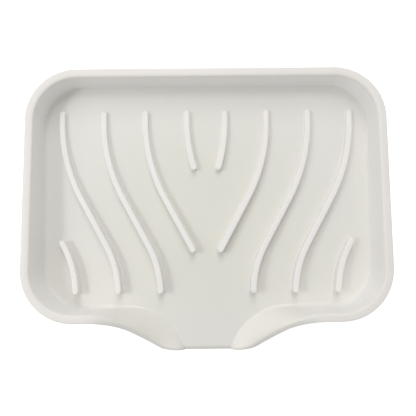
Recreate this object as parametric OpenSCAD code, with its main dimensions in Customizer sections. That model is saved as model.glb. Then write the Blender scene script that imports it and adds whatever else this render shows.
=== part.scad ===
// Self-draining soap dish moulded in silicone: a shallow tray with a floor that slopes to a pouring
// spout, and raised ribs that hold the soap out of the water.
// The origin is at the middle of the footprint, on the table. +Y is the back, -Y is the spout.

/* [Tray] */
// Width over the rim at the front corners
tray_w = 120; // [110:1:132]
// Width over the rim at the back corners
tray_back_w = 118.4; // [108:0.2:120]
// Depth from the back of the rim to the pouring edge
tray_d = 94.6; // [90:0.2:104]
// Height of the rim above the table
tray_h = 18; // [16:0.5:22]
// Radius of the four plan corners, outside
corner_r = 17; // [14:0.5:20]

/* [Wall] */
// Width of the flat rim
rim_w = 3; // [2.2:0.1:3.5]
// Size of the bevel on the two rim edges
rim_edge = 0.9; // [0.3:0.1:1]
// How much the inner face leans in below the rim
inner_draft = 0.2; // [0.1:0.1:1]
// How far the foot of the wall stands in from the rim
foot_inset = 1.2; // [0.5:0.1:1.6]
// Width of the cove between the wall and the floor
cove_w = 1.2; // [0.8:0.1:2]
// Height of that cove
cove_h = 0.8; // [0.5:0.1:1.5]

/* [Floor] */
// Height of the floor's upper face midway between back and front
floor_mid_h = 5.95; // [5.8:0.05:6.6]
// Slope of the floor down to the spout, in degrees
floor_slope = 2.8; // [1.5:0.1:3]
// Thickness of the floor
floor_t = 2.2; // [1.6:0.1:2.4]

/* [Spout] */
// How far the pouring edge stands in front of the front wall
spout_out = 11.7; // [9:0.1:13]
// Width of the pouring edge where it is straight
lip_w = 24; // [20:0.5:28]
// Steepest angle of the front edge as it sweeps out to the spout
sweep_angle = 35; // [30:1:40]
// Radius where the front edge leaves the front wall
sweep_r = 25; // [20:0.5:28]
// Radius of the corner beside the pouring edge
lip_corner_r = 9; // [7:0.5:11]
// Radius of the inner foot of each cheek
cheek_foot_r = 19.7; // [18:0.1:21]
// Half the width of the floor where the cheeks begin to close in
cheek_start_x = 27; // [26:0.5:29]
// Height of the outer edge of the cheek beside the pouring edge
cheek_end_h = 6; // [5:0.1:8]
// Rounding of the pouring edge
lip_edge_r = 1.2; // [0.6:0.1:1.3]
// Thickness of the skirt below the pouring edge
lip_skirt_t = 2.4; // [1.8:0.1:3]

/* [Drain ribs] */
// Height of the rib tops above the table
rib_top_h = 9; // [8.6:0.1:10]
// Width of a rib
rib_w = 2.1; // [1.6:0.1:2.6]
// Where the ribs start to bend, from the middle of the footprint
rib_bend_y = 31.6; // [30:0.1:33]
// Distance between neighbouring ribs
rib_pitch = 14.35; // [14:0.05:14.5]
// Distance of the innermost ribs from the centre line
rib_first_x = 6.55; // [6.3:0.05:7]
// Radius of the bend that turns a rib towards the middle
rib_bend_r = 56; // [54:0.1:58]
// Radius of the bend that turns a rib back towards the front
rib_return_r = 33.9; // [32:0.1:36]
// Angle that a rib turns through, in degrees
rib_turn = 28.3; // [27:0.1:29]
// Length of the straight stretch between the two bends
rib_straight = 18.4; // [17:0.1:20]
// Back end of the ribs
rib_back_y = 35.6; // [33:0.1:37]
// Front end of the long ribs and the corner ribs
rib_front_y = -27.4; // [-28:0.1:-26]
// Front end of the inner pair
inner_rib_front_y = -13.6; // [-15:0.1:-12]
// Front end of the centre pair
centre_rib_front_y = 14.7; // [12:0.1:16]
// Back end of the corner pair
corner_rib_back_y = -8.9; // [-11:0.1:-8]

/* [Support fins] */
// Distance between the fins under the floor
fin_pitch = 20; // [16:0.5:21]
// Thickness of a fin
fin_w = 2; // [1.6:0.1:3]
// Back end of the fins
fin_back_y = 40; // [34:0.5:42]
// Front end of the fins
fin_front_y = -29; // [-30:0.5:-24]

/* [Hidden] */
$fn = 96;

SILICONE = [0.93, 0.93, 0.91];
SILICONE_RIB = [0.97, 0.97, 0.96];
SILICONE_UNDER = [0.86, 0.86, 0.85];

// A length well beyond the tray, for cutting solids
far = 200;
// Cutters run this far past the face they cut
past = 1;

// Facets along each corner of the wall, across its cove, and along the rounded pouring edge
corner_steps = 12;
cove_steps = 3;
edge_steps = 4;
// Facets along a rib and round each of its ends
rib_steps = 24;
cap_steps = 8;
// Sections along each cheek
cheek_steps = 16;
// Share of the way to the pouring edge that the cheeks reach
cheek_reach = 0.99;
// Where the shoulder of a cheek lies beside the pouring edge, as a share of the way to its foot
cheek_shoulder_share = 0.4;
// Height of that shoulder, as a share of the height of the cheek's outer edge
cheek_shoulder_rise = 0.85;
// Share of the cove that is left there
crease_share = 0.3;

back_y = tray_d / 2;
lip_y = -tray_d / 2;
front_y = lip_y + spout_out;
// Thickness of the wall where the cove meets it
wall_t = rim_w + inner_draft;

// Centres of the corner arcs on the right-hand side
back_corner = [tray_back_w / 2 - corner_r, back_y - corner_r];
front_corner = [tray_w / 2 - corner_r, front_y + corner_r];
side_run = back_corner - front_corner;
// The sides lean in towards the back by this angle
side_angle = atan2(-side_run[0], side_run[1]);

// The front edge leaves the straight front wall at this distance from the centre line
sweep_run = (spout_out - (sweep_r + lip_corner_r) * (1 - cos(sweep_angle))) / sin(sweep_angle);
sweep_start_x = lip_w / 2 + (sweep_r + lip_corner_r) * sin(sweep_angle)
    + sweep_run * cos(sweep_angle);
inner_front_y = front_y + wall_t;

// ---------- shared shapes ----------

// Points along an arc, from one angle to another
function arc_points(centre, r, from_angle, to_angle, steps) = [
    for (i = [0:steps])
        let (angle = from_angle + (to_angle - from_angle) * i / steps)
        centre + r * [cos(angle), sin(angle)]
];

// Triangles that close the end of an edge section: a fan from the base of the outer face, which
// passes over the cove, and a fan from the foot that fills the cove
function end_fans(count) =
    let (
        cove_top = 2 + cove_steps,
        outer_base = count - 1,
        ring = concat([0, 1], [for (j = [cove_top:outer_base - 1]) j])
    )
    concat(
        [for (i = [0:len(ring) - 2]) [outer_base, ring[i], ring[i + 1]]],
        [for (j = [2:cove_top - 1]) [1, j, j + 1]]
    );

// A closed skin drawn over a row of edge sections
module swept_skin(sections) {
    count = len(sections[0]);
    last = len(sections) - 1;
    points = [for (section = sections) for (point = section) point];
    skin = [
        for (i = [0:last - 1]) for (j = [0:count - 1])
            let (
                a = i * count + j,
                b = i * count + (j + 1) % count
            )
            each [[a, a + count, b], [b, a + count, b + count]]
    ];
    first_end = end_fans(count);
    last_end = [for (face = first_end) [for (k = [2:-1:0]) face[k] + last * count]];
    polyhedron(points, concat(skin, first_end, last_end));
}

// Stations along the wall, from the left of the spout round the back to its right. Each one is
// the centre that the wall bends round and the angle that the wall faces.
function corner_stations(centre, from_angle, to_angle) = [
    for (i = [0:corner_steps])
        [centre, from_angle + (to_angle - from_angle) * i / corner_steps]
];

function mirrored(stations) = [
    for (i = [len(stations) - 1:-1:0])
        [[-stations[i][0][0], stations[i][0][1]], 180 - stations[i][1]]
];

right_stations = concat(
    corner_stations(back_corner, 90, side_angle),
    corner_stations(front_corner, side_angle, -90),
    [[[sweep_start_x, front_corner[1]], -90]]
);
wall_stations = concat(mirrored(right_stations), right_stations);

// Point of the plan at a station, moved in from the rim by inset
function plan_point(station, inset) =
    station[0] + (corner_r - inset) * [cos(station[1]), sin(station[1])];

// ---------- floor ----------

// Places its children on the sloping floor, with z = 0 on the floor's upper face
module on_floor() {
    translate([0, 0, floor_mid_h]) rotate([floor_slope, 0, 0]) children();
}

function floor_h(y) = floor_mid_h + y * tan(floor_slope);

// Everything above the floor's upper face, or above a face this far below it
module above_floor(drop = 0) {
    on_floor() translate([-far / 2, -far / 2, -drop]) cube([far, far, far / 2]);
}

module tray_floor() {
    color(SILICONE) intersection() {
        linear_extrude(tray_h) polygon([for (station = wall_stations) plan_point(station, wall_t)]);
        on_floor() translate([-far / 2, -far / 2, -floor_t]) cube([far, far, floor_t]);
    }
}

// ---------- wall ----------

// Sections of the edge are worked out from three points in plan: the outer edge at the rim, the
// outer edge at the table, and the foot of the inner face. They run from the foot's bottom up
// over the cove and the rim, and down the outside. The cove is given as a share of its full size.
function edge_section(foot, inward, cove, shoulder, shoulder_h, top_in, top_h, edge, bottom) =
    let (
        low_h = floor_h(foot[1]),
        cove_curve = [
            for (i = [0:cove_steps])
                let (
                    rise = i / cove_steps,
                    point = foot + cove * cove_w * (1 - rise) * inward
                )
                [point[0], point[1], floor_h(point[1]) + cove * cove_h * pow(rise, 2)]
        ]
    )
    concat(
        [[foot[0], foot[1], 0], [foot[0], foot[1], low_h]],
        cove_curve,
        [
            [shoulder[0], shoulder[1], shoulder_h - rim_edge],
            [shoulder_in(shoulder, edge)[0], shoulder_in(shoulder, edge)[1], shoulder_h],
            [top_in[0], top_in[1], top_h],
            [edge[0], edge[1], top_h - rim_edge],
            [bottom[0], bottom[1], 0]
        ]
    );

// The shoulder's point moved outwards by the bevel
function shoulder_in(shoulder, edge) =
    shoulder + rim_edge * (edge - shoulder) / norm(edge - shoulder);

function wall_section(station) =
    let (
        inward = -[cos(station[1]), sin(station[1])],
        foot = plan_point(station, wall_t)
    )
    edge_section(
        foot, inward, 1, plan_point(station, rim_w), tray_h,
        plan_point(station, rim_edge), tray_h, plan_point(station, 0),
        plan_point(station, foot_inset)
    );

module perimeter_wall() {
    color(SILICONE) swept_skin([for (station = wall_stations) wall_section(station)]);
}

// ---------- spout ----------

// Plan of the open channel between the feet of the two cheeks
module channel_plan() {
    difference() {
        translate([-cheek_start_x, lip_y - past])
            square([2 * cheek_start_x, inner_front_y - lip_y + past]);
        for (side = [-1, 1])
            translate([side * cheek_start_x, inner_front_y - cheek_foot_r]) circle(cheek_foot_r);
    }
}

// Section of the lip: x runs from the pouring edge to the back, y runs up
module lip_section() {
    edge_centre = [lip_y + lip_edge_r, floor_h(lip_y + lip_edge_r) - lip_edge_r / cos(floor_slope)];
    plate_t = floor_t / cos(floor_slope);
    skirt_y = lip_y + lip_skirt_t;
    polygon(concat(
        [
            [lip_y, 0], [skirt_y, 0], [skirt_y, floor_h(skirt_y) - plate_t],
            [inner_front_y, floor_h(inner_front_y) - plate_t],
            [inner_front_y, floor_h(inner_front_y)]
        ],
        arc_points(edge_centre, lip_edge_r, 90 + floor_slope, 180, edge_steps)
    ));
}

module spout_lip() {
    color(SILICONE) intersection() {
        linear_extrude(tray_h) channel_plan();
        translate([-far / 2, 0, 0]) rotate([90, 0, 90]) linear_extrude(far) lip_section();
    }
}

// Point on the outer edge of the front, a share t of the way from the wall to the pouring edge,
// moved in by inset
function front_edge(t, inset) =
    let (
        bend = sweep_r * sweep_angle * PI / 180,
        corner = lip_corner_r * sweep_angle * PI / 180,
        s = t * (bend + sweep_run + corner),
        bend_centre = [sweep_start_x, front_y - sweep_r],
        corner_centre = [lip_w / 2, lip_y + lip_corner_r],
        turn = s < bend ? sweep_angle * s / bend
            : s < bend + sweep_run ? sweep_angle
            : sweep_angle * (bend + sweep_run + corner - s) / corner,
        facing = [sin(turn), -cos(turn)],
        edge = s < bend ? bend_centre - sweep_r * facing
            : s < bend + sweep_run
                ? bend_centre - sweep_r * facing - (s - bend) * [cos(turn), sin(turn)]
            : corner_centre + lip_corner_r * facing
    )
    edge - inset * facing;

// Point on the inner foot of the cheek, a share t of the way from the wall to the pouring edge
function cheek_foot(t) =
    let (
        straight = sweep_start_x - cheek_start_x,
        end_turn = acos((cheek_foot_r - (inner_front_y - lip_y)) / cheek_foot_r),
        s = t * (straight + cheek_foot_r * end_turn * PI / 180),
        turn = (s - straight) / cheek_foot_r * 180 / PI
    )
    s < straight ? [sweep_start_x - s, inner_front_y]
        : [cheek_start_x - cheek_foot_r * sin(turn), inner_front_y - cheek_foot_r * (1 - cos(turn))];

// Section of the cheek at t. The wall falls, its inner face leans back into a broad shoulder,
// and the cove shrinks to a crease.
function cheek_section(t) =
    let (
        fall = (1 - cos(180 * t)) / 2,
        top_h = tray_h + (cheek_end_h - tray_h) * fall,
        foot = cheek_foot(t),
        edge = front_edge(t, 0),
        inward = (foot - edge) / norm(foot - edge),
        low_h = floor_h(foot[1]),
        shoulder_share = rim_w / wall_t * (1 - fall) + cheek_shoulder_share * fall,
        shoulder_rise = 1 - fall * (1 - cheek_shoulder_rise)
    )
    edge_section(
        foot, inward, 1 - fall * (1 - crease_share),
        edge + shoulder_share * (foot - edge), low_h + (top_h - low_h) * shoulder_rise,
        front_edge(t, rim_edge * (1 - fall)), top_h, edge, front_edge(t, foot_inset * (1 - fall))
    );

// Right-hand cheek. It stops a little short of the pouring edge, where its section would fold flat.
module cheek() {
    swept_skin([for (i = [0:cheek_steps]) cheek_section(cheek_reach * i / cheek_steps)]);
}

module spout_cheek_left() {
    color(SILICONE) mirror([1, 0, 0]) cheek();
}

module spout_cheek_right() {
    color(SILICONE) cheek();
}

// ---------- drain ribs ----------

// Every rib follows one S-shaped path, moved sideways. It runs from the back to the front:
// straight, a bend towards the middle, straight, and a bend back.
bend_end_y = rib_bend_y - rib_bend_r * sin(rib_turn);
return_y = bend_end_y - rib_straight * cos(rib_turn);
bend_shift = rib_bend_r * (1 - cos(rib_turn));
return_centre_y = return_y - rib_return_r * sin(rib_turn);
return_centre_shift = rib_return_r * cos(rib_turn) - bend_shift - rib_straight * sin(rib_turn);

// How far the path has turned where it passes y
function rib_heading(y) =
    y > rib_bend_y ? 0
    : y > bend_end_y ? asin((rib_bend_y - y) / rib_bend_r)
    : y > return_y ? rib_turn
    : asin((y - return_centre_y) / rib_return_r);

// How far the path has moved away from its straight start where it passes y
function rib_shift(y) =
    y > bend_end_y ? -rib_bend_r * (1 - cos(rib_heading(y)))
    : y > return_y ? -bend_shift - (bend_end_y - y) * tan(rib_turn)
    : return_centre_shift - rib_return_r * cos(rib_heading(y));

// Point of the path that starts at top_x, moved to the right of its direction of travel
function rib_point(top_x, y, out) =
    [top_x + rib_shift(y), y] + out * [cos(rib_heading(y)), -sin(rib_heading(y))];

// Plan of a rib: down its right edge, round its front end, up its left edge, round its back end
function rib_outline(top_x, from_y, to_y) =
    let (
        r = rib_w / 2,
        rows = [for (i = [0:rib_steps]) from_y + (to_y - from_y) * i / rib_steps],
        back_heading = rib_heading(from_y),
        front_heading = rib_heading(to_y)
    )
    concat(
        [for (y = rows) rib_point(top_x, y, r)],
        arc_points(rib_point(top_x, to_y, 0), r, -front_heading, -180 - front_heading, cap_steps),
        [for (i = [rib_steps:-1:0]) rib_point(top_x, rows[i], -r)],
        arc_points(rib_point(top_x, from_y, 0), r, 180 - back_heading, -back_heading, cap_steps)
    );

// A rib on the right-hand side whose path starts at top_x
module rib(top_x, back_end, front_end) {
    intersection() {
        linear_extrude(rib_top_h)
            polygon(rib_outline(top_x, back_end - rib_w / 2, front_end + rib_w / 2));
        above_floor();
    }
}

function rib_x(index) = rib_first_x + index * rib_pitch;

module centre_rib() {
    rib(rib_x(0), rib_back_y, centre_rib_front_y);
}

module inner_rib() {
    rib(rib_x(1), rib_back_y, inner_rib_front_y);
}

module middle_rib() {
    rib(rib_x(2), rib_back_y, rib_front_y);
}

module outer_rib() {
    rib(rib_x(3), rib_back_y, rib_front_y);
}

module corner_rib() {
    rib(rib_x(4), corner_rib_back_y, rib_front_y);
}

// Puts its children on the left (-1) or the right (1)
module on_side(side) {
    color(SILICONE_RIB) mirror([side < 0 ? 1 : 0, 0, 0]) children();
}

// ---------- support fins ----------

// A fin under the floor, counted in steps of fin_pitch from the centre line
module support_fin(step) {
    color(SILICONE_UNDER) difference() {
        translate([step * fin_pitch - fin_w / 2, fin_front_y, 0])
            cube([fin_w, fin_back_y - fin_front_y, tray_h / 2]);
        above_floor(floor_t);
    }
}

tray_floor();
perimeter_wall();
spout_lip();
spout_cheek_left();
spout_cheek_right();
on_side(-1) outer_rib();  // outer_rib_left
on_side(1) outer_rib();  // outer_rib_right
on_side(-1) middle_rib();  // middle_rib_left
on_side(1) middle_rib();  // middle_rib_right
on_side(-1) inner_rib();  // inner_rib_left
on_side(1) inner_rib();  // inner_rib_right
on_side(-1) centre_rib();  // centre_rib_left
on_side(1) centre_rib();  // centre_rib_right
on_side(-1) corner_rib();  // corner_rib_left
on_side(1) corner_rib();  // corner_rib_right
support_fin(-2);  // support_fin_far_left
support_fin(-1);  // support_fin_left
support_fin(0);  // support_fin_centre
support_fin(1);  // support_fin_right
support_fin(2);  // support_fin_far_right
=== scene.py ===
import math
import bpy
import numpy as np
from mathutils import Matrix, Vector


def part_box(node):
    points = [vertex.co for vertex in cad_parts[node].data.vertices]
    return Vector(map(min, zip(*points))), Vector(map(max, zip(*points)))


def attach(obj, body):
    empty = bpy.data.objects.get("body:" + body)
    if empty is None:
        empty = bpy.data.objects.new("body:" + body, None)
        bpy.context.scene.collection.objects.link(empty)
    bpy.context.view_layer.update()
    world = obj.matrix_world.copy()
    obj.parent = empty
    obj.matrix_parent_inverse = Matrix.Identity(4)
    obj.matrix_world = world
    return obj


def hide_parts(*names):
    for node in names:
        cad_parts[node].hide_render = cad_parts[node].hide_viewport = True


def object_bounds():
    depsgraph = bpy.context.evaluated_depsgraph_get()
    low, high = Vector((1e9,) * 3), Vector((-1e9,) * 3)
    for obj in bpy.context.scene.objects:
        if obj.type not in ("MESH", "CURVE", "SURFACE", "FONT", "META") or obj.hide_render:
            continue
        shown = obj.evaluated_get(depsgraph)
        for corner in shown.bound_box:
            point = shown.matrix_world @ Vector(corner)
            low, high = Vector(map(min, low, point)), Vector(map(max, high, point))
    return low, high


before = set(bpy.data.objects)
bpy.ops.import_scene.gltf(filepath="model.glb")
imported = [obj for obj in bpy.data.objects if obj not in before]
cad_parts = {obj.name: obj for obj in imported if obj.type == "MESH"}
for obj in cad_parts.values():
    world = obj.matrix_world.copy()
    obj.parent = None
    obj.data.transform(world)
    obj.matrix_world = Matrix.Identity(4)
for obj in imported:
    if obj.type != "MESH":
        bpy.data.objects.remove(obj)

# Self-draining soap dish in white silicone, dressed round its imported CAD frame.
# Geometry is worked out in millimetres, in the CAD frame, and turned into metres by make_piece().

CAD_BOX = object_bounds()
MM = 0.001

# ---------- sizes ----------

# The whole dish, from the frame
LOW, HIGH = (np.array(corner) / MM for corner in CAD_BOX)
TRAY_W = HIGH[0] - LOW[0]
TRAY_H = HIGH[2]
BACK_Y = HIGH[1]
LIP_Y = LOW[1]

# Plan of the rim
TRAY_BACK_W = 118.4
CORNER_R = 17.0
SPOUT_OUT = 11.7
FRONT_Y = LIP_Y + SPOUT_OUT
BACK_CORNER = np.array([TRAY_BACK_W / 2 - CORNER_R, BACK_Y - CORNER_R])
FRONT_CORNER = np.array([TRAY_W / 2 - CORNER_R, FRONT_Y + CORNER_R])
SIDE_ANGLE = math.atan2(FRONT_CORNER[0] - BACK_CORNER[0], BACK_CORNER[1] - FRONT_CORNER[1])

# Wall
RIM_W = 3.0
WALL_T = 3.2
FOOT_INSET = 1.2
COVE_W = 1.2
COVE_H = 0.8
# Length of the foot's underside that a wall's outline ends with
FOOT_UNDER = 1.2
# Reach of the rounding: at the rim's inner edge, at its outer edge and in the cove
RIM_ROUND = 0.75
OUTER_ROUND = 0.4
COVE_ROUND = 0.2
# The rounding grows from the cove's to the rim's between these distances below the rim
ROUND_START = 6.0
ROUND_FULL = 1.0
# It changes to the outer edge's over at least this length
ROUND_CHANGE = 0.6

# Floor
FLOOR_MID_H = 5.95
FLOOR_SLOPE = math.tan(math.radians(2.8))
FLOOR_T = 2.2
# Height of the floor plate, measured straight down
PLATE_H = FLOOR_T * math.sqrt(1 + FLOOR_SLOPE ** 2)

# Spout
LIP_W = 24.0
SWEEP_ANGLE = math.radians(35)
SWEEP_R = 25.0
LIP_CORNER_R = 9.0
CHEEK_FOOT_R = 19.7
CHEEK_START_X = 27.0
CHEEK_END_H = 6.0
LIP_ROUND = 1.8
LIP_SKIRT_T = 2.4
# Small rounding at the foot of the skirt: how far in and how high each point lies
SKIRT_FOOT = [(0.0, 0.3), (0.1, 0.1), (0.3, 0.0)]
SWEEP_RUN = (SPOUT_OUT - (SWEEP_R + LIP_CORNER_R) * (1 - math.cos(SWEEP_ANGLE))) / math.sin(SWEEP_ANGLE)
SWEEP_START_X = (LIP_W / 2 + (SWEEP_R + LIP_CORNER_R) * math.sin(SWEEP_ANGLE)
                 + SWEEP_RUN * math.cos(SWEEP_ANGLE))
INNER_FRONT_Y = FRONT_Y + WALL_T

# The rim runs on along each cheek as a band that slopes down outwards
BAND_W = 1.9
BAND_END_W = 1.6
BAND_DROP = 1.3
BAND_CREASE_ROUND = 0.45
BAND_EDGE_ROUND = 0.6
# How far the cheek's inner face is pillowed
CHEEK_PILLOW = 0.6
# Shares of the way to the pouring edge where the band, the pillow and the crease are full
BAND_FULL_AT = 0.45
PILLOW_FULL_AT = 0.55
CREASE_AT = 0.8
# Share of the way where the band starts to narrow
BAND_NARROWS_AT = 0.5
# Share of the cove that the crease has lost
CREASE_LOSS = 0.97

# Ribs
RIB_W = 2.1
RIB_TOP_ROUND = 0.5
RIB_BASE_ROUND = 0.15
RIB_BEND_Y = 31.6
RIB_BEND_R = 56.0
RIB_RETURN_R = 33.9
RIB_TURN = math.radians(28.3)
RIB_STRAIGHT = 18.4

# Support fins
FIN_ROUND = 0.5
# Rounded foot of a fin: how far in and how high each outline lies
FIN_FOOT = [(0.35, 0.0), (0.12, 0.12), (0.0, 0.35)]
FIN_CORNER_STEPS = 4

# How finely the meshes are drawn
CORNER_STEPS = 30
CHEEK_STEPS = 90
SECTION_POINTS = 72
COVE_POINTS = 17
FACE_POINTS = 25
RIB_STEPS = 60
CAP_STEPS = 16
ARC_STEPS = 8
LIP_COLUMNS = 48
LIP_TOP_POINTS = 24
LIP_EDGE_POINTS = 13
LIP_UNDER_POINTS = 16
# Distance between the points of a section before it is rounded
FINE_STEP = 0.12
# The rounding averages points up to this many times its reach away
AVERAGE_SPAN = 3
# Share of a section's points that are spread evenly; the others go to its bends
EVEN_SHARE = 0.45
# Distances and heights below this are taken as nothing
NOTHING = 1e-9
TABLE_H = 0.01


# ---------- mesh helpers ----------

def make_piece(name, points, faces, material, sharp_angle=38):
    """A mesh piece from points in millimetres. Edges that bend more than sharp_angle stay crisp."""
    mesh = bpy.data.meshes.new(name)
    mesh.from_pydata([tuple(float(c) * MM for c in point) for point in points], [], faces)
    mesh.validate()
    mesh.update()
    mesh.shade_smooth()
    mesh.set_sharp_from_angle(angle=math.radians(sharp_angle))
    mesh.materials.append(material)
    piece = bpy.data.objects.new(name, mesh)
    bpy.context.scene.collection.objects.link(piece)
    return piece


def swept_skin(sections):
    """Closed skin over a row of closed sections that all have the same number of points."""
    count = len(sections[0])
    last = len(sections) - 1
    points = [point for section in sections for point in section]
    faces = []
    for i in range(last):
        for j in range(count):
            a = i * count + j
            b = i * count + (j + 1) % count
            faces.append((a, a + count, b + count, b))
    faces.append(tuple(range(count)))
    faces.append(tuple(last * count + j for j in reversed(range(count))))
    return points, faces


def smoothstep(x):
    x = min(max(x, 0.0), 1.0)
    return x * x * (3 - 2 * x)


def resampled(line, step):
    """Points along a polyline, about step apart, and their distances from its start."""
    line = np.array(line, float)
    lengths = np.linalg.norm(np.diff(line, axis=0), axis=1)
    keep = np.concatenate([[True], lengths > NOTHING])
    line = line[keep]
    at = np.concatenate([[0], np.cumsum(np.linalg.norm(np.diff(line, axis=0), axis=1))])
    where = np.linspace(0, at[-1], int(at[-1] / step) + 2)
    return np.stack([np.interp(where, at, line[:, k]) for k in range(line.shape[1])], 1), where


def rounded(line, rounding):
    """A polyline with its corners rounded by averaging. rounding(at) is the reach of the average in
    millimetres for each distance from the start. The ends run straight on while they are averaged."""
    points, at = resampled(line, FINE_STEP)
    reach = rounding(at)
    extra = int(AVERAGE_SPAN * reach.max() / FINE_STEP) + 1
    step = at[1] - at[0]
    run = np.arange(1, extra + 1)[:, None]
    before = points[0] - run[::-1] * (points[1] - points[0])
    after = points[-1] + run * (points[-1] - points[-2])
    wide = np.concatenate([before, points, after])
    wide_at = np.concatenate([at[0] - run[::-1, 0] * step, at, at[-1] + run[:, 0] * step])
    weight = np.exp(-((at[:, None] - wide_at[None]) / reach[:, None]) ** 2 / 2)
    weight /= weight.sum(1, keepdims=True)
    return weight @ wide


def thinned(line, count):
    """count points of a dense line, closer together where it bends."""
    steps = np.diff(line, axis=0)
    lengths = np.linalg.norm(steps, axis=1)
    heading = steps / lengths[:, None]
    bend = np.arccos(np.clip((heading[1:] * heading[:-1]).sum(1), -1, 1))
    bend = np.concatenate([bend[:1], bend])
    even = lengths / lengths.sum() * EVEN_SHARE
    bent = bend / bend.sum() * (1 - EVEN_SHARE)
    measure = np.concatenate([[0], np.cumsum(even + bent)])
    where = np.linspace(0, measure[-1], count)
    return np.stack([np.interp(where, measure, line[:, k]) for k in range(line.shape[1])], 1)


# ---------- plan of the dish ----------

def floor_h(y):
    return FLOOR_MID_H + y * FLOOR_SLOPE


def lip_drop(y):
    """How far the pouring edge has rounded down where a point is y along the dish."""
    d = min(max((y - LIP_Y) / LIP_ROUND, 0.0), 1.0)
    return LIP_ROUND * (1 - math.sqrt(max(0.0, 1 - (1 - d) ** 2)))


def corner_stations(centre, start, end):
    angles = np.linspace(start, end, CORNER_STEPS + 1)
    return [(centre[0], centre[1], angle) for angle in angles]


def wall_stations():
    """Stations from the left of the spout round the back to its right: centre and facing angle."""
    right = corner_stations(BACK_CORNER, math.pi / 2, SIDE_ANGLE)
    right += corner_stations(FRONT_CORNER, SIDE_ANGLE, -math.pi / 2)
    right.append((SWEEP_START_X, FRONT_CORNER[1], -math.pi / 2))
    left = [(-x, y, math.pi - angle) for x, y, angle in reversed(right)]
    return left + right


def plan_point(station, inset):
    x, y, angle = station
    return np.array([x, y]) + (CORNER_R - inset) * np.array([math.cos(angle), math.sin(angle)])


def front_edge(t):
    """Point on the outer edge of the front, a share t of the way from the wall to the pouring edge."""
    bend = SWEEP_R * SWEEP_ANGLE
    corner = LIP_CORNER_R * SWEEP_ANGLE
    s = t * (bend + SWEEP_RUN + corner)
    if s < bend:
        turn = s / SWEEP_R
    elif s < bend + SWEEP_RUN:
        turn = SWEEP_ANGLE
    else:
        turn = (bend + SWEEP_RUN + corner - s) / LIP_CORNER_R
    facing = np.array([math.sin(turn), -math.cos(turn)])
    along = np.array([math.cos(turn), math.sin(turn)])
    if s < bend + SWEEP_RUN:
        point = np.array([SWEEP_START_X, FRONT_Y - SWEEP_R]) - SWEEP_R * facing
        return point - max(0.0, s - bend) * along, facing
    return np.array([LIP_W / 2, LIP_Y + LIP_CORNER_R]) + LIP_CORNER_R * facing, facing


def cheek_foot(t):
    """Point on the inner foot of the cheek, the same share of the way."""
    straight = SWEEP_START_X - CHEEK_START_X
    end_turn = math.acos((CHEEK_FOOT_R - (INNER_FRONT_Y - LIP_Y)) / CHEEK_FOOT_R)
    s = t * (straight + CHEEK_FOOT_R * end_turn)
    if s < straight:
        return np.array([SWEEP_START_X - s, INNER_FRONT_Y])
    turn = (s - straight) / CHEEK_FOOT_R
    return np.array([CHEEK_START_X - CHEEK_FOOT_R * math.sin(turn),
                     INNER_FRONT_Y - CHEEK_FOOT_R * (1 - math.cos(turn))])


# ---------- wall and cheeks ----------

def edge_section(foot, edge, base, cove, rim, drop, top_h, lean, inner_round, outer_round):
    """Section of the raised edge, from the foot's bottom up over the cove and the rim and down the
    outside. foot, edge and base are plan points, and cove is a share of the full cove. The rim is
    rim wide and falls by drop towards the outside. lean turns the inner face from straight to
    pillowed."""
    depth = np.linalg.norm(edge - foot)
    outward = (edge - foot) / depth
    cove_w, cove_h = COVE_W * cove, COVE_H * cove

    line = []
    for rise in np.linspace(0, 1, COVE_POINTS):
        h = -cove_w * (1 - rise)
        line.append((h, floor_h(foot[1] + h * outward[1]) + cove_h * rise ** 2))
    start_h, start_z = line[-1]
    for v in np.linspace(0, 1, FACE_POINTS)[1:]:
        rise = (1 - lean) * v + lean * (1 - (1 - v) ** 2)
        line.append((start_h + (depth - rim) * v, start_z + (top_h - start_z) * rise))
    inner_at = sum(np.linalg.norm(np.diff(np.array(line), axis=0), axis=1))
    outer_at = inner_at + math.hypot(rim, drop)
    base_h = float((base - foot) @ outward)
    line += [(depth, top_h - drop), (base_h, 0.0), (base_h - FOOT_UNDER, 0.0)]

    def rounding(at):
        inner = np.clip((at - inner_at + ROUND_START) / (ROUND_START - ROUND_FULL), 0, 1)
        reach = COVE_ROUND + (inner_round - COVE_ROUND) * inner
        past_middle = at - (inner_at + outer_at) / 2
        outer = np.clip(past_middle / max(rim / 2, ROUND_CHANGE) + 0.5, 0, 1)
        return reach + (outer_round - reach) * outer

    section = [(foot[0], foot[1], 0.0), (foot[0], foot[1], floor_h(foot[1]) - lip_drop(foot[1]))]
    for h, z in thinned(rounded(line, rounding), SECTION_POINTS):
        x, y = foot + h * outward
        lowered = lip_drop(y) * min(1.0, z / top_h) if z > TABLE_H else 0.0
        section.append((x, y, max(z - lowered, 0.0)))
    return section


def wall_section(station):
    return edge_section(plan_point(station, WALL_T), plan_point(station, 0),
                        plan_point(station, FOOT_INSET), 1.0, RIM_W, 0.0, TRAY_H, 0.0,
                        RIM_ROUND, OUTER_ROUND)


def cheek_section(t):
    """Section of the right-hand cheek, a share t of the way from the wall to the pouring edge."""
    foot = cheek_foot(t)
    edge, facing = front_edge(t)
    fall = (1 - math.cos(math.pi * t)) / 2
    top_h = TRAY_H + (CHEEK_END_H - TRAY_H) * fall
    base = edge - FOOT_INSET * (1 - fall) * facing
    cove = 1 - CREASE_LOSS * smoothstep(t / CREASE_AT)
    band = smoothstep(t / BAND_FULL_AT)
    narrowed = smoothstep((t - BAND_NARROWS_AT) / (1 - BAND_NARROWS_AT))
    rim = RIM_W + (BAND_W - RIM_W) * band + (BAND_END_W - BAND_W) * narrowed
    lean = CHEEK_PILLOW * smoothstep(t / PILLOW_FULL_AT)
    inner_round = RIM_ROUND + (BAND_CREASE_ROUND - RIM_ROUND) * band
    outer_round = OUTER_ROUND + (BAND_EDGE_ROUND - OUTER_ROUND) * band
    return edge_section(foot, edge, base, cove, rim, BAND_DROP * band, top_h, lean,
                        inner_round, outer_round)


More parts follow.
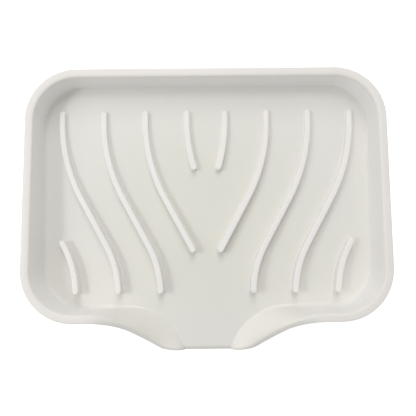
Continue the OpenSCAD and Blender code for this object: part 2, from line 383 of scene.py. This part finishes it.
def perimeter_wall(material):
    points, faces = swept_skin([wall_section(station) for station in wall_stations()])
    return make_piece("perimeter_wall_moulded", points, faces, material)


def cheek(name, side, material):
    sections = [cheek_section(t) for t in np.linspace(0, 1, CHEEK_STEPS + 1)]
    points, faces = swept_skin(sections)
    points = [(side * x, y, z) for x, y, z in points]
    if side < 0:
        faces = [tuple(reversed(face)) for face in faces]
    return make_piece(name, points, faces, material)


# ---------- floor and lip ----------

def tray_floor(material):
    outline = [plan_point(station, WALL_T) for station in wall_stations()]
    count = len(outline)
    points = [(x, y, floor_h(y)) for x, y in outline]
    points += [(x, y, floor_h(y) - PLATE_H) for x, y in outline]
    faces = [tuple(reversed(range(count))), tuple(range(count, 2 * count))]
    for j in range(count):
        k = (j + 1) % count
        faces.append((j, k, count + k, count + j))
    return make_piece("tray_floor_moulded", points, faces, material)


def spout_lip(material):
    """Sections run from the back of the lip over its rounded pouring edge and back underneath."""
    skirt_y = LIP_Y + LIP_SKIRT_T
    profile = [(y, floor_h(y)) for y in np.linspace(INNER_FRONT_Y, LIP_Y + LIP_ROUND, LIP_TOP_POINTS)]
    for angle in np.linspace(0, math.pi / 2, LIP_EDGE_POINTS)[1:]:
        y = LIP_Y + LIP_ROUND * (1 - math.sin(angle))
        profile.append((y, floor_h(y) - lip_drop(y)))
    profile += [(LIP_Y + inset, lift) for inset, lift in SKIRT_FOOT] + [(skirt_y, 0.0)]
    profile += [(y, floor_h(y) - PLATE_H) for y in np.linspace(skirt_y, INNER_FRONT_Y, LIP_UNDER_POINTS)]

    def half_width(y):
        down = INNER_FRONT_Y - y
        return CHEEK_START_X - math.sqrt(CHEEK_FOOT_R ** 2 - (CHEEK_FOOT_R - down) ** 2)

    sections = [[(share * half_width(y), y, z) for y, z in profile]
                for share in np.linspace(-1, 1, LIP_COLUMNS + 1)]
    points, faces = swept_skin(sections)
    return make_piece("spout_lip_moulded", points, faces, material)


# ---------- drain ribs ----------

BEND_END_Y = RIB_BEND_Y - RIB_BEND_R * math.sin(RIB_TURN)
RETURN_Y = BEND_END_Y - RIB_STRAIGHT * math.cos(RIB_TURN)
BEND_SHIFT = RIB_BEND_R * (1 - math.cos(RIB_TURN))
RETURN_CENTRE_Y = RETURN_Y - RIB_RETURN_R * math.sin(RIB_TURN)
RETURN_CENTRE_SHIFT = RIB_RETURN_R * math.cos(RIB_TURN) - BEND_SHIFT - RIB_STRAIGHT * math.sin(RIB_TURN)


def rib_heading(y):
    """How far the path has turned where it passes y."""
    if y > RIB_BEND_Y:
        return 0.0
    if y > BEND_END_Y:
        return math.asin((RIB_BEND_Y - y) / RIB_BEND_R)
    if y > RETURN_Y:
        return RIB_TURN
    return math.asin((y - RETURN_CENTRE_Y) / RIB_RETURN_R)


def rib_shift(y):
    """How far the path has moved away from its straight start where it passes y."""
    if y > BEND_END_Y:
        return -RIB_BEND_R * (1 - math.cos(rib_heading(y)))
    if y > RETURN_Y:
        return -BEND_SHIFT - (BEND_END_Y - y) * math.tan(RIB_TURN)
    return RETURN_CENTRE_SHIFT - RIB_RETURN_R * math.cos(rib_heading(y))


def rib_point(top_x, y, out):
    heading = rib_heading(y)
    return np.array([top_x + rib_shift(y) + out * math.cos(heading), y - out * math.sin(heading)])


def rib_outline(top_x, back_y, front_y, r):
    """Plan of a rib of half-width r round a path: right side, front end, left side, back end."""
    rows = np.linspace(back_y, front_y, RIB_STEPS + 1)
    front, back = rib_heading(front_y), rib_heading(back_y)
    line = [rib_point(top_x, y, r) for y in rows]
    for angle in np.linspace(0, math.pi, CAP_STEPS + 1)[1:-1]:
        line.append(rib_point(top_x, front_y, 0)
                    + r * np.array([math.cos(-front - angle), math.sin(-front - angle)]))
    line += [rib_point(top_x, y, -r) for y in reversed(rows)]
    for angle in np.linspace(0, math.pi, CAP_STEPS + 1)[1:-1]:
        line.append(rib_point(top_x, back_y, 0)
                    + r * np.array([math.cos(math.pi - back - angle), math.sin(math.pi - back - angle)]))
    return line


def ring_stack(rings, fill_top, fill_bottom):
    """Closed skin over a stack of rings with the same number of points, from the bottom up."""
    count = len(rings[0])
    points = [point for ring in rings for point in ring]
    faces = []
    for i in range(len(rings) - 1):
        for j in range(count):
            k = (j + 1) % count
            faces.append((i * count + j, (i + 1) * count + j, (i + 1) * count + k, i * count + k))
    top = (len(rings) - 1) * count
    faces += [tuple(top + j for j in face) for face in fill_top]
    faces += [tuple(reversed(face)) for face in fill_bottom]
    return points, faces


def stadium_fill(count):
    """Faces that close a rib's ring: strips between its two sides, and a fan over each end."""
    rows = RIB_STEPS + 1
    right = list(range(rows))
    left_start = rows + CAP_STEPS - 1
    left = [left_start + rows - 1 - i for i in range(rows)]
    faces = [(right[i], left[i], left[i + 1], right[i + 1]) for i in range(rows - 1)]
    faces.append(tuple([right[-1]] + [left[-1]] + list(range(left_start - 1, rows - 1, -1))))
    faces.append(tuple([left[0], right[0]] + list(range(count - 1, left_start + rows - 1, -1))))
    return faces


def rib(node, material):
    """A rib that stands where its CAD node does. Its flanks meet the floor in a small fillet."""
    low, high = (np.array(corner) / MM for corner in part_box(node))
    side = 1 if low[0] + high[0] > 0 else -1
    half = RIB_W / 2
    back_y, front_y = high[1] - half, low[1] + half
    top_h = high[2]
    reach = max(side * low[0], side * high[0])
    widest = max(rib_point(0, y, half)[0] for y in np.linspace(back_y, front_y, 80))
    top_x = reach - widest
    rings = []
    for angle in np.linspace(math.pi / 2, 0, ARC_STEPS):
        out = half + RIB_BASE_ROUND * (1 - math.cos(angle))
        lift = RIB_BASE_ROUND * (1 - math.sin(angle))
        rings.append([(x, y, floor_h(y) + lift)
                      for x, y in rib_outline(top_x, back_y, front_y, out)])
    for angle in np.linspace(0, math.pi / 2, ARC_STEPS):
        out = half - RIB_TOP_ROUND * (1 - math.cos(angle))
        lift = RIB_TOP_ROUND * (1 - math.sin(angle))
        rings.append([(x, y, top_h - lift) for x, y in rib_outline(top_x, back_y, front_y, out)])
    fill = stadium_fill(len(rings[0]))
    points, faces = ring_stack(rings, fill, fill)
    points = [(side * x, y, z) for x, y, z in points]
    if side < 0:
        faces = [tuple(reversed(face)) for face in faces]
    return make_piece(node + "_moulded", points, faces, material)


# ---------- support fins ----------

def support_fin(node, material):
    """A fin under the floor with softened corners, as deep as its CAD node."""
    low, high = (np.array(corner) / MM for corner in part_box(node))
    middle = (low + high) / 2
    corners = [(high[0], high[1], 0), (low[0], high[1], 90),
               (low[0], low[1], 180), (high[0], low[1], 270)]

    def outline(inset):
        line = []
        r = FIN_ROUND - inset
        for x, y, turn in corners:
            cx = x - np.sign(x - middle[0]) * FIN_ROUND
            cy = y - np.sign(y - middle[1]) * FIN_ROUND
            for angle in np.radians(np.linspace(turn, turn + 90, FIN_CORNER_STEPS + 1)):
                line.append((cx + r * math.cos(angle), cy + r * math.sin(angle)))
        return line

    rings = [[(x, y, lift) for x, y in outline(inset)] for inset, lift in FIN_FOOT]
    rings.append([(x, y, floor_h(y) - PLATE_H) for x, y in outline(0.0)])
    count = len(rings[0])
    cap = [tuple(range(count))]
    points, faces = ring_stack(rings, cap, cap)
    skin_count = (len(rings) - 1) * count
    faces = [tuple(reversed(face)) if i < skin_count else face for i, face in enumerate(faces)]
    return make_piece(node + "_moulded", points, faces, material)


# ---------- materials ----------

SILICONE_IOR = 1.41
SILICONE_GLOSS = 0.45
# Soft clouds in the tint and the sheen
CLOUD_SCALE = 38
CLOUD_DETAIL = 4
CLOUD_RANGE = (0.3, 0.7)
CLOUD_TINT = (0.978, 0.98, 0.976)
SHEEN_SPREAD = 0.05
# Moulded grain, and how deep it is in metres
GRAIN_SCALE = 2600
GRAIN_DETAIL = 2
GRAIN_DEPTH = 0.00004
GRAIN_SEED_STEP = 5
# Distances from the middle of the dish, in metres, between which the middle's darker tint, painted
# shade, fades out
MIDDLE_SHADE_FADE = (8 * MM, 55 * MM)
# Upward parts of the normal between which a steep face turns into a flat one, which takes the floor's
# darker tint as painted shade
FLAT_SHADE_FADE = (0.2, 0.7)
# Distances from the centre line between which the spout's darker tint, painted shade on the cheeks,
# fades out
SPOUT_SHADE_FADE = (CHEEK_START_X * MM, SWEEP_START_X * MM)
# Heights between which the rim's darker tint, painted shade on the rim, comes in
RIM_SHADE_FADE = ((TRAY_H - 1.2) * MM, (TRAY_H - 0.3) * MM)


def mixed(nodes, links, blend, factor, first, second):
    """Output of a colour mix. factor, first and second are plain values or another node's outputs."""
    mix = nodes.new("ShaderNodeMix")
    mix.data_type = "RGBA"
    mix.blend_type = blend
    factor_socket, first_socket, second_socket = mix.inputs[0], mix.inputs[6], mix.inputs[7]
    for socket, value in ((factor_socket, factor), (first_socket, first), (second_socket, second)):
        if isinstance(value, bpy.types.NodeSocket):
            links.new(value, socket)
        elif isinstance(value, tuple):
            socket.default_value = (*value, 1)
        else:
            socket.default_value = value
    return mix.outputs[2]


def blend_by(nodes, links, value, fade, below, above):
    """Colour that goes from below to above as value goes through the fade."""
    share = nodes.new("ShaderNodeMapRange")
    share.interpolation_type = "SMOOTHSTEP"
    share.inputs["From Min"].default_value = fade[0]
    share.inputs["From Max"].default_value = fade[1]
    links.new(value, share.inputs["Value"])
    return mixed(nodes, links, "MIX", share.outputs["Result"], below, above)


def noise(nodes, links, place, seed, scale, detail):
    node = nodes.new("ShaderNodeTexNoise")
    node.noise_dimensions = "4D"
    node.inputs["W"].default_value = seed
    node.inputs["Scale"].default_value = scale
    node.inputs["Detail"].default_value = detail
    links.new(place.outputs["Object"], node.inputs["Vector"])
    return node


def silicone(name, tint, rough, grain, seed, foot_shade_tint=None, spout_shade_tint=None, rim_shade_tint=None,
             middle_shade_tint=None):
    """Matt white silicone: a faint cloudy tint, an uneven sheen and a fine moulded grain. Over its
    base tint it paints shade as darker tints: the floor's where it lies as flat as the floor, the
    spout's beside the spout, the rim's on the rim and the middle's towards the middle of the dish."""
    material = bpy.data.materials.new(name)
    material.use_nodes = True
    nodes, links = material.node_tree.nodes, material.node_tree.links
    shader = nodes["Principled BSDF"]
    shader.inputs["IOR"].default_value = SILICONE_IOR
    shader.inputs["Specular IOR Level"].default_value = SILICONE_GLOSS

    place = nodes.new("ShaderNodeTexCoord")
    cloud = noise(nodes, links, place, seed, CLOUD_SCALE, CLOUD_DETAIL)
    veil = nodes.new("ShaderNodeValToRGB")
    for stop, position, colour in zip(veil.color_ramp.elements, CLOUD_RANGE, (CLOUD_TINT, (1, 1, 1))):
        stop.position = position
        stop.color = (*colour, 1)
    links.new(cloud.outputs["Fac"], veil.inputs["Fac"])

    # Painted shade: darker tints by distance from the middle, on flat faces, beside the spout and on the
    # rim
    colour = tint
    if middle_shade_tint:
        away = nodes.new("ShaderNodeVectorMath")
        away.operation = "LENGTH"
        links.new(place.outputs["Object"], away.inputs[0])
        colour = blend_by(nodes, links, away.outputs["Value"], MIDDLE_SHADE_FADE, middle_shade_tint, colour)
    if foot_shade_tint:
        facing = nodes.new("ShaderNodeSeparateXYZ")
        links.new(place.outputs["Normal"], facing.inputs["Vector"])
        colour = blend_by(nodes, links, facing.outputs["Z"], FLAT_SHADE_FADE, colour, foot_shade_tint)
    if spout_shade_tint or rim_shade_tint:
        axes = nodes.new("ShaderNodeSeparateXYZ")
        links.new(place.outputs["Object"], axes.inputs["Vector"])
    if spout_shade_tint:
        aside = nodes.new("ShaderNodeMath")
        aside.operation = "ABSOLUTE"
        links.new(axes.outputs["X"], aside.inputs[0])
        colour = blend_by(nodes, links, aside.outputs["Value"], SPOUT_SHADE_FADE, spout_shade_tint, colour)
    if rim_shade_tint:
        colour = blend_by(nodes, links, axes.outputs["Z"], RIM_SHADE_FADE, colour, rim_shade_tint)
    clouded = mixed(nodes, links, "MULTIPLY", 1.0, colour, veil.outputs["Color"])
    links.new(clouded, shader.inputs["Base Color"])

    sheen_map = nodes.new("ShaderNodeMapRange")
    sheen_map.inputs["To Min"].default_value = rough - SHEEN_SPREAD
    sheen_map.inputs["To Max"].default_value = rough + SHEEN_SPREAD
    links.new(cloud.outputs["Fac"], sheen_map.inputs["Value"])
    links.new(sheen_map.outputs["Result"], shader.inputs["Roughness"])

    fine = noise(nodes, links, place, seed + GRAIN_SEED_STEP, GRAIN_SCALE, GRAIN_DETAIL)
    bump = nodes.new("ShaderNodeBump")
    bump.inputs["Strength"].default_value = grain
    bump.inputs["Distance"].default_value = GRAIN_DEPTH
    links.new(fine.outputs["Fac"], bump.inputs["Height"])
    links.new(bump.outputs["Normal"], shader.inputs["Normal"])
    return material


STAGE_GLOW = 0.6


def stage_material():
    """White studio table that stays white under the lights."""
    material = bpy.data.materials.new("studio_white")
    material.use_nodes = True
    shader = material.node_tree.nodes["Principled BSDF"]
    shader.inputs["Base Color"].default_value = (0.95, 0.95, 0.95, 1)
    shader.inputs["Roughness"].default_value = 0.9
    shader.inputs["Specular IOR Level"].default_value = 0.0
    shader.inputs["Emission Color"].default_value = (1, 1, 1, 1)
    shader.inputs["Emission Strength"].default_value = STAGE_GLOW
    return material


# ---------- pieces ----------

def dress(piece, node):
    """Puts a piece in the place of its CAD node."""
    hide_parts(node)
    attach(piece, "root")


# The floor, middle, wall, cheek, rim and rib tints are copies of one silicone colour, set lighter or
# darker as painted light and shade that the lamps don't give: painted shade on the floor, deeper in its
# middle, on the flat foot of the walls, on the cheeks beside the spout and on the rim; painted light on
# the steep walls and the ribs.
FLOOR_SHADE_TINT = (0.797, 0.786, 0.742)
MIDDLE_SHADE_TINT = (0.777, 0.765, 0.7)
WALL_LIGHT_TINT = (0.945, 0.93, 0.915)
CHEEK_SHADE_TINT = (0.855, 0.83, 0.775)
RIM_SHADE_TINT = (0.84, 0.81, 0.775)
RIB_LIGHT_TINT = (0.875, 0.853, 0.82)
UNDER_TINT = (0.84, 0.825, 0.79)

body_white = silicone("silicone_body_painted_shade", FLOOR_SHADE_TINT, rough=0.5, grain=0.25, seed=1.0,
                      middle_shade_tint=MIDDLE_SHADE_TINT)
wall_white = silicone("silicone_wall_painted_light_and_shade", WALL_LIGHT_TINT, rough=0.46, grain=0.22, seed=2.0,
                      foot_shade_tint=FLOOR_SHADE_TINT, rim_shade_tint=RIM_SHADE_TINT)
cheek_white = silicone("silicone_cheeks_painted_light_and_shade", WALL_LIGHT_TINT, rough=0.46, grain=0.22, seed=2.0,
                       foot_shade_tint=FLOOR_SHADE_TINT, spout_shade_tint=CHEEK_SHADE_TINT, rim_shade_tint=RIM_SHADE_TINT)
rib_white = silicone("silicone_ribs_painted_light", RIB_LIGHT_TINT, rough=0.44, grain=0.18, seed=3.0)
under_white = silicone("silicone_underside", UNDER_TINT, rough=0.62, grain=0.5, seed=4.0)

dress(tray_floor(body_white), "tray_floor")
dress(perimeter_wall(wall_white), "perimeter_wall")
dress(spout_lip(body_white), "spout_lip")
dress(cheek("spout_cheek_left_moulded", -1, cheek_white), "spout_cheek_left")
dress(cheek("spout_cheek_right_moulded", 1, cheek_white), "spout_cheek_right")
for node in sorted(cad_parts):
    if "rib" in node:
        dress(rib(node, rib_white), node)
    if "support_fin" in node:
        dress(support_fin(node, under_white), node)


# ---------- stage, lights and camera ----------

# Half the width of the studio table, in metres
STAGE_HALF = 3.0


def studio_floor():
    half = STAGE_HALF
    mesh = bpy.data.meshes.new("studio_floor")
    mesh.from_pydata([(-half, -half, 0), (half, -half, 0), (half, half, 0), (-half, half, 0)],
                     [], [(0, 1, 2, 3)])
    mesh.materials.append(stage_material())
    floor = bpy.data.objects.new("studio_floor", mesh)
    bpy.context.scene.collection.objects.link(floor)
    # The table sends no diffuse light back onto the dish, as in a cut-out product picture
    floor.visible_diffuse = False


def lamp(name, place, size, power):
    """Round soft white light that looks at the dish. place is in millimetres."""
    light = bpy.data.lights.new(name, "AREA")
    light.shape = "DISK"
    light.size = size * MM
    light.energy = power
    holder = bpy.data.objects.new(name, light)
    start, end = Vector(place) * MM, Vector(LAMP_AIM) * MM
    holder.location = start
    holder.rotation_mode = "QUATERNION"
    holder.rotation_quaternion = (end - start).to_track_quat("-Z", "Y")
    bpy.context.scene.collection.objects.link(holder)


SKY_STRENGTH = 0.48
LAMP_AIM = (0, 0, 8)
# Round soft lights: name, place and diameter in millimetres, power in watts
LAMPS = [
    ("key_light", (-237, 0, 296), 55, 0.17),
    ("high_back_light", (0, 290, 640), 260, 0.85),
    ("low_back_light", (0, 470, 460), 260, 0.64),
    ("left_light", (-500, 0, 500), 400, 0.6),
    ("right_light", (500, 0, 500), 400, 0.12),
]


def studio_light():
    world = bpy.data.worlds.new("studio_sky")
    world.use_nodes = True
    sky = world.node_tree.nodes["Background"]
    sky.inputs["Color"].default_value = (1.0, 1.0, 1.0, 1)
    sky.inputs["Strength"].default_value = SKY_STRENGTH
    bpy.context.scene.world = world
    for lamp_facts in LAMPS:
        lamp(*lamp_facts)
    bpy.context.scene.view_settings.view_transform = "Standard"


# Camera: place in millimetres, lens in millimetres, tilt and roll in degrees
CAMERA_PLACE = (0.52, -8.143, 165.75)
CAMERA_LENS = 39.8
CAMERA_TILT = 3.574
CAMERA_ROLL = 0.499


def photo_camera():
    """Camera almost straight above the dish: a long look down, tipped a little towards the back."""
    camera = bpy.data.cameras.new("camera")
    camera.sensor_width = 36.0
    camera.lens = CAMERA_LENS
    camera.clip_start = 0.01
    camera.clip_end = 10
    holder = bpy.data.objects.new("camera", camera)
    tilt, roll = math.radians(CAMERA_TILT), math.radians(CAMERA_ROLL)
    turn = Matrix.Rotation(tilt, 4, "X") @ Matrix.Rotation(-roll, 4, "Z")
    holder.matrix_world = Matrix.Translation(Vector(CAMERA_PLACE) * MM) @ turn
    bpy.context.scene.collection.objects.link(holder)
    bpy.context.scene.camera = holder


studio_floor()
studio_light()
photo_camera()
